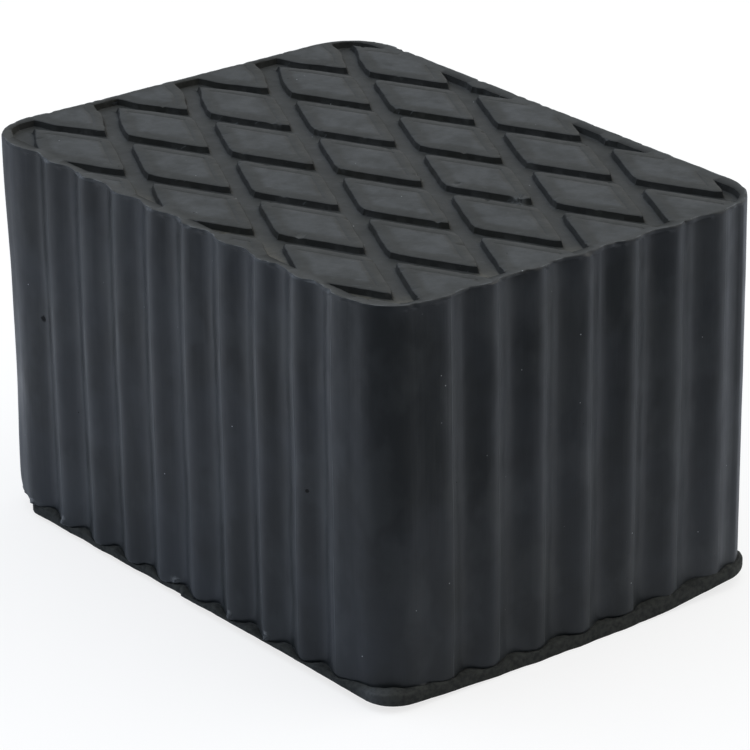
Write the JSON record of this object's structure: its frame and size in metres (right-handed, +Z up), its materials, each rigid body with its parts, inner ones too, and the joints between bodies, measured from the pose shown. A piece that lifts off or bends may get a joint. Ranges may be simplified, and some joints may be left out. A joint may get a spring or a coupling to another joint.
{
  "type": "rubber lift block",
  "caption": "Solid black rubber block with upright ribbed walls, a thin foot round the base and a raised diamond tread on top, for use between a lift's arm and a vehicle.",
  "frame": {"origin": "middle of the underside", "axes": "+Z up, +X along the length; the front long side is -Y and the right short side is +X"},
  "size_m": [0.16, 0.12, 0.1],
  "materials": {
    "rubber": "moulded black rubber, satin, with a dusty bloom"
  },
  "bodies": {
    "root": {"rubber_block": "rubber"}
  },
  "joints": []
}
